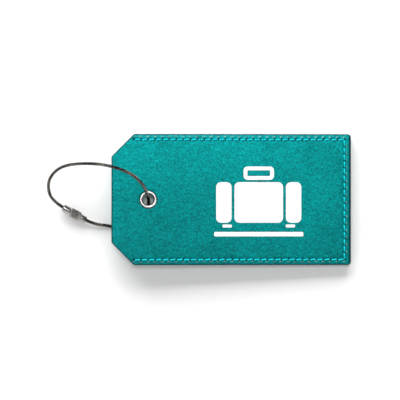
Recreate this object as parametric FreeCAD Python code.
"""Luggage tag: a stitched leather sleeve, the card insert that slides into its open end,
and the steel rope loop that goes through both and closes with a screw connector.

Millimetres, +Z up, +X towards the closed end of the tag. The origin is on the floor,
under the middle of the tag. The tag is built flat and then tipped, because the loop
passes beneath its eyelet end and props that end up.
"""
import FreeCAD, Part
import math
import os

V = FreeCAD.Vector
Z = V(0, 0, 1)

# --- Sleeve -------------------------------------------------------------------------------
TAG_LENGTH = 118.0        # along X
TAG_WIDTH = 64.5          # along Y
END_CHAMFER = 11.0        # 45 degree cuts at the eyelet end
CORNER_RADIUS = 1.6       # outline corners
SKIN = 0.8                # leather
BOARD = 0.5               # stiffener behind the leather
LINING = 0.4              # cloth that faces the pocket
POCKET_DEPTH = 1.8        # between the two linings
RIM = 4.5                 # width of the three sewn edges
MOUTH_HEM = 3.0           # leather turned over the board at the open end
EDGE_ROUND = 0.4          # fillet of the leather's outer edges
FIELD_RISE = 0.08         # the field inside the seams stands above the sewn borders
FIELD_INSET = 4.2         # from the tag's edges to the field
FIELD_EYELET_GAP = 1.0    # leather pressed down round the eyelet's flange

# --- Stitching ----------------------------------------------------------------------------
STITCH_PITCH = 3.45
STITCH_LENGTH = 2.55
THREAD = 0.7              # thread width
THREAD_PROUD = 0.12       # how far a stitch stands above the leather
STITCH_SIDE_INSET = 2.7   # from the tag's long edges to their rows
STITCH_END_INSET = 3.2    # from the closed end to its row
STITCH_START = 0.0        # from the end of the chamfer to the first stitch
STITCH_SLANT = 6.0        # degrees, front rows

# --- Insert -------------------------------------------------------------------------------
INSERT_FIT = 0.1          # clearance above and below the insert
INSERT_SIDE_FIT = 0.25    # clearance beside it and behind it
INSERT_SETBACK = 0.8      # from the sleeve's open end
INSERT_PANEL = 0.6
WINDOW = 0.3
CARD = 0.3
FRAME_BORDER = 7.0        # frame width round the window opening
WINDOW_LAP = 2.0          # window held under the frame
CARD_MARGIN = 1.5         # window edge to card edge
CARD_LENGTH = 82.0        # card, along X
INSERT_HOLE_PLAY = 1.2    # insert hole radius over the eyelet bore radius

# --- Eyelets ------------------------------------------------------------------------------
EYELET_FROM_END = 18.0
EYELET_BORE_RADIUS = 2.8
EYELET_WALL = 0.4
FLANGE_RADIUS = 4.4
FLANGE_RISE = 0.45
WASHER = 0.2
SETTING_LIP = 0.5         # barrel rolled out over the washer

# --- Rope loop and connector ----------------------------------------------------------------
ROPE = 1.6                # rope diameter
COLLAR_START = V(-83.0, -3.9, 3.05)
CONNECTOR_HEADING = -29.0  # degrees in plan
CONNECTOR_FALL = 5.0       # degrees below level
CONNECTOR_LENGTH = 12.8
COLLAR_LENGTH = 3.6
COLLAR_RADIUS = 1.8
COLLAR_RIM = 0.12
NECK_GAP = 0.35           # between collar and barrel when screwed up
BARREL_LENGTH = 5.7
BARREL_RADIUS = 2.15
BARREL_CHAMFER = 0.35
KNURLS = 20
KNURL_DEPTH = 0.18
FERRULE_RADIUS = 1.55
STUD_RADIUS = 1.1
STUD_LENGTH = 2.6
THREAD_CLEARANCE = 0.06
CONNECTOR_TRAVEL = 2.0    # ferrule and barrel draw this far off the stud
ROPE_SOCKET = 2.5         # rope inside the collar
ROPE_LANDING = 0.6        # rope inside the swivel ferrule
SOCKET_CLEARANCE = 0.12   # round and behind the rope in the swivel ferrule
SPIGOT_RADIUS = 0.75
SPIGOT_HEAD_RADIUS = 1.1
SPIGOT_HEAD = 0.5
BARREL_WALL = 0.9         # end wall that the spigot turns in
TURN_CLEARANCE = 0.06

# --- Rest position --------------------------------------------------------------------------
PROP_ANGLE = 3.0          # degrees that the loop tips the tag

# --- Worked out from the sizes above ---------------------------------------------------------
COVER = SKIN + BOARD + LINING
THICKNESS = 2 * COVER + POCKET_DEPTH
MIDPLANE = THICKNESS / 2
HALF_LENGTH = TAG_LENGTH / 2
HALF_WIDTH = TAG_WIDTH / 2
POCKET_HALF_WIDTH = HALF_WIDTH - RIM
POCKET_END = HALF_LENGTH - RIM
EYELET_X = -HALF_LENGTH + EYELET_FROM_END
EYELET_BARREL_RADIUS = EYELET_BORE_RADIUS + EYELET_WALL
OVERCUT = 1.0             # cutters run past the face they open

tilt = math.radians(PROP_ANGLE)
hinge_x = (TAG_LENGTH * math.cos(tilt) - THICKNESS * math.sin(tilt)) / 2
edge_drop = EDGE_ROUND * (math.sin(tilt) + math.cos(tilt) - 1)

nodes = {}


def lay_down(shape):
    """Takes a flat tag piece to its place, tipped about its far bottom edge."""
    placed = shape.copy()
    placed.translate(V(-HALF_LENGTH, 0, 0))
    placed.rotate(V(0, 0, 0), V(0, 1, 0), PROP_ANGLE)
    placed.translate(V(hinge_x, 0, -edge_drop))
    return placed


def flip(shape):
    """Mirrors a front piece through the tag's middle to make the back one."""
    return shape.mirror(V(0, 0, MIDPLANE), Z)


# --- Outlines --------------------------------------------------------------------------------
def tag_outline(setback, half_width, right_end, height, radius):
    """Prism of the tag's plan: 45 degree cuts at the eyelet end, rounded corners."""
    left = -HALF_LENGTH + setback
    # The slanted edge keeps the same setback from the sleeve's own slanted edge.
    diagonal = -HALF_LENGTH - HALF_WIDTH + END_CHAMFER + setback * math.sqrt(2)
    corners = [
        V(left, diagonal - left, 0),
        V(diagonal + half_width, -half_width, 0),
        V(right_end, -half_width, 0),
        V(right_end, half_width, 0),
        V(diagonal + half_width, half_width, 0),
        V(left, left - diagonal, 0),
    ]
    prism = Part.Face(Part.makePolygon(corners + corners[:1])).extrude(V(0, 0, height))
    if radius == 0:
        return prism
    upright = [e for e in prism.Edges if abs(e.Vertexes[0].Z - e.Vertexes[-1].Z) > height / 2]
    return prism.makeFillet(radius, upright)


def slab(x0, x1, half_width, z0, z1):
    return Part.makeBox(x1 - x0, 2 * half_width, z1 - z0, V(x0, -half_width, z0))


def cylinder(radius, z0, z1, x=EYELET_X):
    return Part.makeCylinder(radius, z1 - z0, V(x, 0, z0), Z)


# --- Sleeve covers ---------------------------------------------------------------------------
BOARD_BOTTOM = THICKNESS - SKIN - BOARD
LINING_BOTTOM = THICKNESS - COVER


def lining_blank(z0, z1):
    """What fills the front leather behind its face, between the sewn rims and the hem."""
    plan = tag_outline(MOUTH_HEM, POCKET_HALF_WIDTH, POCKET_END, z1 - z0, 0)
    return plan.translated(V(0, 0, z0))


def make_field():
    """The flat part of a cover that a sticker or stamp lies on, clear of stitches and eyelet."""
    field = tag_outline(FIELD_INSET, HALF_WIDTH - FIELD_INSET, HALF_LENGTH - FIELD_INSET, FIELD_RISE,
                        CORNER_RADIUS)
    field.translate(V(0, 0, THICKNESS))
    return field.cut(cylinder(FLANGE_RADIUS + FIELD_EYELET_GAP, THICKNESS, THICKNESS + FIELD_RISE))


def make_skin():
    skin = tag_outline(0, HALF_WIDTH, HALF_LENGTH, MIDPLANE, CORNER_RADIUS)
    skin.translate(V(0, 0, MIDPLANE))
    rim_edges = [e for e in skin.Edges if all(abs(v.Z - THICKNESS) < 1e-6 for v in e.Vertexes)]
    skin = skin.makeFillet(EDGE_ROUND, rim_edges)
    pocket = slab(-HALF_LENGTH - OVERCUT, POCKET_END, POCKET_HALF_WIDTH, MIDPLANE, LINING_BOTTOM)
    skin = skin.cut([pocket, lining_blank(LINING_BOTTOM, THICKNESS - SKIN)])
    skin = skin.fuse(make_field()).removeSplitter()
    return skin.cut(cylinder(EYELET_BARREL_RADIUS, MIDPLANE, THICKNESS + OVERCUT))


def make_board():
    board = lining_blank(BOARD_BOTTOM, THICKNESS - SKIN)
    return board.cut(cylinder(EYELET_BARREL_RADIUS, MIDPLANE, THICKNESS))


def make_lining():
    lining = lining_blank(LINING_BOTTOM, BOARD_BOTTOM)
    return lining.cut(cylinder(FLANGE_RADIUS, MIDPLANE, THICKNESS))


# --- Eyelets ---------------------------------------------------------------------------------
def make_eyelet():
    """Rolled flange on the leather, barrel through the cover, lip over the washer."""
    bore = EYELET_BORE_RADIUS
    barrel = EYELET_BARREL_RADIUS
    top = THICKNESS
    lip_top = BOARD_BOTTOM - WASHER
    crown = (bore + FLANGE_RADIUS) / 2
    outline = [
        Part.LineSegment(V(bore, 0, LINING_BOTTOM), V(bore, 0, top)),
        Part.Arc(V(bore, 0, top), V(crown, 0, top + FLANGE_RISE), V(FLANGE_RADIUS, 0, top)),
        Part.LineSegment(V(FLANGE_RADIUS, 0, top), V(barrel, 0, top)),
        Part.LineSegment(V(barrel, 0, top), V(barrel, 0, lip_top)),
        Part.LineSegment(V(barrel, 0, lip_top), V(barrel + SETTING_LIP, 0, lip_top)),
        Part.LineSegment(V(barrel + SETTING_LIP, 0, lip_top), V(barrel + SETTING_LIP, 0, LINING_BOTTOM)),
        Part.LineSegment(V(barrel + SETTING_LIP, 0, LINING_BOTTOM), V(bore, 0, LINING_BOTTOM)),
    ]
    section = Part.Face(Part.Wire([piece.toShape() for piece in outline]))
    eyelet = section.revolve(V(0, 0, 0), Z, 360)
    return eyelet.translated(V(EYELET_X, 0, 0))


def make_washer():
    z0 = BOARD_BOTTOM - WASHER
    ring = cylinder(FLANGE_RADIUS, z0, BOARD_BOTTOM)
    return ring.cut(cylinder(EYELET_BARREL_RADIUS, z0, BOARD_BOTTOM))


# --- Stitching -------------------------------------------------------------------------------
def stitch_places():
    """Middle and direction, in degrees, of each stitch: far row, closed end, near row."""
    row_y = HALF_WIDTH - STITCH_SIDE_INSET
    row_x = HALF_LENGTH - STITCH_END_INSET
    start_x = -HALF_LENGTH + END_CHAMFER + STITCH_START
    long_count = round((row_x - start_x) / STITCH_PITCH)
    long_step = (row_x - start_x) / long_count
    short_count = round(2 * row_y / STITCH_PITCH)
    short_step = 2 * row_y / short_count
    places = []
    for i in range(long_count):
        x = start_x + (i + 0.5) * long_step
        places.append((x, row_y, 0))
        places.append((x, -row_y, 0))
    for i in range(short_count):
        places.append((row_x, -row_y + (i + 0.5) * short_step, 90))
    return places


def make_stitch(x, y, turn):
    """One pass of thread: a round-ended bar with a crowned top, bedded in the leather."""
    bed = THICKNESS
    half = (STITCH_LENGTH - THREAD) / 2
    bar = Part.makeBox(2 * half, THREAD, THREAD_PROUD, V(-half, -THREAD / 2, 0))
    for end in (-half, half):
        bar = bar.fuse(Part.makeCylinder(THREAD / 2, THREAD_PROUD, V(end, 0, 0), Z))
    bar = bar.removeSplitter()
    bar.rotate(V(0, 0, 0), Z, turn + STITCH_SLANT)
    return bar.translated(V(x, y, bed))


def make_stitching():
    return Part.makeCompound([make_stitch(*place) for place in stitch_places()])


# --- Insert ----------------------------------------------------------------------------------
INSERT_BOTTOM = COVER + INSERT_FIT
INSERT_TOP = COVER + POCKET_DEPTH - INSERT_FIT
PANEL_TOP = INSERT_BOTTOM + INSERT_PANEL
CARD_TOP = PANEL_TOP + CARD
WINDOW_TOP = CARD_TOP + WINDOW
INSERT_HALF_WIDTH = POCKET_HALF_WIDTH - INSERT_SIDE_FIT
INSERT_END = POCKET_END - INSERT_SIDE_FIT
OPENING_HALF_WIDTH = INSERT_HALF_WIDTH - FRAME_BORDER
OPENING_END = INSERT_END - FRAME_BORDER
WINDOW_HALF_WIDTH = OPENING_HALF_WIDTH + WINDOW_LAP
WINDOW_END = OPENING_END + WINDOW_LAP
WINDOW_START = WINDOW_END - CARD_LENGTH - 2 * CARD_MARGIN
OPENING_START = WINDOW_START + WINDOW_LAP


def insert_blank(z0, z1):
    plan = tag_outline(INSERT_SETBACK, INSERT_HALF_WIDTH, INSERT_END, z1 - z0, 0)
    plan.translate(V(0, 0, z0))
    return plan.cut(cylinder(EYELET_BORE_RADIUS + INSERT_HOLE_PLAY, z0, z1))


def make_insert_frame():
    frame = insert_blank(PANEL_TOP, INSERT_TOP)
    bed = slab(WINDOW_START, WINDOW_END, WINDOW_HALF_WIDTH, PANEL_TOP, WINDOW_TOP)
    opening = slab(OPENING_START, OPENING_END, OPENING_HALF_WIDTH, PANEL_TOP, INSERT_TOP)
    return frame.cut([bed, opening])


def make_window():
    return slab(WINDOW_START, WINDOW_END, WINDOW_HALF_WIDTH, CARD_TOP, WINDOW_TOP)


def make_card():
    return slab(WINDOW_START + CARD_MARGIN, WINDOW_END - CARD_MARGIN,
                WINDOW_HALF_WIDTH - CARD_MARGIN, PANEL_TOP, CARD_TOP)


# --- Connector -------------------------------------------------------------------------------
def connector_axis():
    heading = math.radians(CONNECTOR_HEADING)
    fall = math.radians(CONNECTOR_FALL)
    return V(math.cos(fall) * math.cos(heading), math.cos(fall) * math.sin(heading), -math.sin(fall))


AXIS = connector_axis()
BARREL_START = COLLAR_LENGTH + NECK_GAP
BARREL_END = BARREL_START + BARREL_LENGTH
INNER_WALL = BARREL_END - BARREL_WALL
HEAD_END = INNER_WALL - TURN_CLEARANCE


def along(distance):
    """Point on the connector's axis, from the collar's free end."""
    return COLLAR_START + AXIS * distance


def rod(radius, start, end):
    return Part.makeCylinder(radius, end - start, along(start), AXIS)


def make_threaded_ferrule():
    """Collar pressed on the rope, with the stud that the barrel screws on."""
    collar = rod(COLLAR_RADIUS, 0, COLLAR_LENGTH)
    rim = rod(COLLAR_RADIUS + COLLAR_RIM, COLLAR_LENGTH - 0.7, COLLAR_LENGTH)
    stud = rod(STUD_RADIUS, COLLAR_LENGTH, COLLAR_LENGTH + STUD_LENGTH)
    socket = rod(ROPE / 2, 0, ROPE_SOCKET)
    return collar.fuse([rim, stud]).cut(socket).removeSplitter()


def make_barrel():
    """Knurled nut: threaded at the stud, with a wall that holds the spigot's head."""
    barrel = rod(BARREL_RADIUS, BARREL_START, BARREL_END)
    end_edges = [e for e in barrel.Edges if e.Closed]
    barrel = barrel.makeChamfer(BARREL_CHAMFER, end_edges)
    bore = rod(STUD_RADIUS + THREAD_CLEARANCE, BARREL_START, HEAD_END)
    chamber_start = HEAD_END - SPIGOT_HEAD - TURN_CLEARANCE
    chamber = rod(SPIGOT_HEAD_RADIUS + TURN_CLEARANCE, chamber_start, INNER_WALL)
    spigot_hole = rod(SPIGOT_RADIUS + TURN_CLEARANCE, INNER_WALL, BARREL_END)
    cutters = [bore, chamber, spigot_hole]
    side = AXIS.cross(Z)
    side.normalize()
    groove_radius = 1.6 * KNURL_DEPTH
    for i in range(KNURLS):
        groove = Part.makeCylinder(groove_radius, BARREL_LENGTH - 3 * BARREL_CHAMFER,
                                   along(BARREL_START + 1.5 * BARREL_CHAMFER)
                                   + side * (BARREL_RADIUS + groove_radius - KNURL_DEPTH), AXIS)
        groove.rotate(along(0), AXIS, i * 360 / KNURLS)
        cutters.append(groove)
    return barrel.cut(cutters)


def make_swivel_ferrule():
    """Ferrule whose headed spigot turns in the barrel's end wall."""
    start = BARREL_END + TURN_CLEARANCE
    body = rod(FERRULE_RADIUS, start, CONNECTOR_LENGTH)
    spigot = rod(SPIGOT_RADIUS, HEAD_END, start)
    head = rod(SPIGOT_HEAD_RADIUS, HEAD_END - SPIGOT_HEAD, HEAD_END)
    socket_depth = ROPE_LANDING + CONNECTOR_TRAVEL + SOCKET_CLEARANCE
    socket = rod(ROPE / 2 + SOCKET_CLEARANCE, CONNECTOR_LENGTH - socket_depth, CONNECTOR_LENGTH)
    return body.fuse([spigot, head]).cut(socket).removeSplitter()


# --- Rope ------------------------------------------------------------------------------------
ROPE_POINTS = [
    along(ROPE_SOCKET),
    along(-4.0),
    V(-90.2, 3.2, 6.0),
    V(-89.8, 10.6, 10.5),
    V(-83.6, 16.4, 15.0),
    V(-73.0, 17.8, 18.2),
    V(-62.0, 17.2, 20.2),
    V(-50.5, 13.8, 19.6),
    V(-43.6, 8.2, 17.2),
    V(-41.0, 2.3, 13.2),
    V(-40.6, -1.6, 3.0),
    V(-42.4, -11.4, 0.9),
    V(-51.0, -15.2, 0.85),
    V(-60.6, -12.9, 0.9),
    along(CONNECTOR_LENGTH + 4.0),
    along(CONNECTOR_LENGTH - ROPE_LANDING),
]


def rope_path(points):
    """Straight runs joined by tangent arcs as large as each pair of runs allows."""
    edges = []
    start = points[0]
    for before, corner, after in zip(points, points[1:], points[2:]):
        back = before - corner
        ahead = after - corner
        setback = 0.45 * min(back.Length, ahead.Length)
        back.normalize()
        ahead.normalize()
        half_turn = (math.pi - back.getAngle(ahead)) / 2
        radius = setback / math.tan(half_turn)
        enter = corner + back * setback
        leave = corner + ahead * setback
        inward = back + ahead
        inward.normalize()
        middle = corner + inward * (radius / math.cos(half_turn) - radius)
        edges.append(Part.LineSegment(start, enter).toShape())
        edges.append(Part.Arc(enter, middle, leave).toShape())
        print(f"rope turns {math.degrees(2 * half_turn):.0f} degrees, radius {radius:.1f} mm")
        start = leave
    edges.append(Part.LineSegment(start, points[-1]).toShape())
    return Part.Wire(edges)


def make_rope():
    path = rope_path(ROPE_POINTS)
    heading = ROPE_POINTS[1] - ROPE_POINTS[0]
    section = Part.Wire(Part.makeCircle(ROPE / 2, ROPE_POINTS[0], heading))
    rope = path.makePipeShell([section], True, False)
    expected = math.pi * (ROPE / 2) ** 2 * path.Length
    print(f"rope {path.Length:.1f} mm long, volume {rope.Volume:.1f}, section times length {expected:.1f}")
    return rope


# --- The whole tag ---------------------------------------------------------------------------
front_pieces = {
    "skin": make_skin(),
    "board": make_board(),
    "lining": make_lining(),
    "stitching": make_stitching(),
    "eyelet": make_eyelet(),
    "washer": make_washer(),
}
for name, piece in front_pieces.items():
    nodes["front_" + name] = lay_down(piece)
    nodes["back_" + name] = lay_down(flip(piece))

nodes["insert_panel"] = lay_down(insert_blank(INSERT_BOTTOM, PANEL_TOP))
nodes["insert_frame"] = lay_down(make_insert_frame())
nodes["insert_window"] = lay_down(make_window())
nodes["name_card"] = lay_down(make_card())

nodes["wire_rope"] = make_rope()
nodes["threaded_ferrule"] = make_threaded_ferrule()
nodes["knurled_barrel"] = make_barrel()
nodes["swivel_ferrule"] = make_swivel_ferrule()

os.makedirs("parts", exist_ok=True)
whole = Part.makeCompound([shape for name, shape in nodes.items()
                           if name not in ("wire_rope", "threaded_ferrule", "knurled_barrel", "swivel_ferrule")])
box = whole.BoundBox
print(f"tag box x {box.XMin:.2f}..{box.XMax:.2f}, y {box.YMin:.2f}..{box.YMax:.2f}, z {box.ZMin:.2f}..{box.ZMax:.2f}")
for name, shape in nodes.items():
    shape.exportStep(f"parts/{name}.step")
    print(f"{name:18s} volume {shape.Volume:9.2f} valid {shape.isValid()} solids {len(shape.Solids)}")

eyelet_axis = V(math.sin(tilt), 0, math.cos(tilt))
eyelet_centre = V(EYELET_X - HALF_LENGTH, 0, MIDPLANE)
eyelet_centre = FreeCAD.Rotation(V(0, 1, 0), PROP_ANGLE).multVec(eyelet_centre) + V(hinge_x, 0, -edge_drop)
print("eyelet centre", eyelet_centre, "axis", eyelet_axis)
print("connector start", along(0), "axis", AXIS, "barrel middle", along((BARREL_START + BARREL_END) / 2))
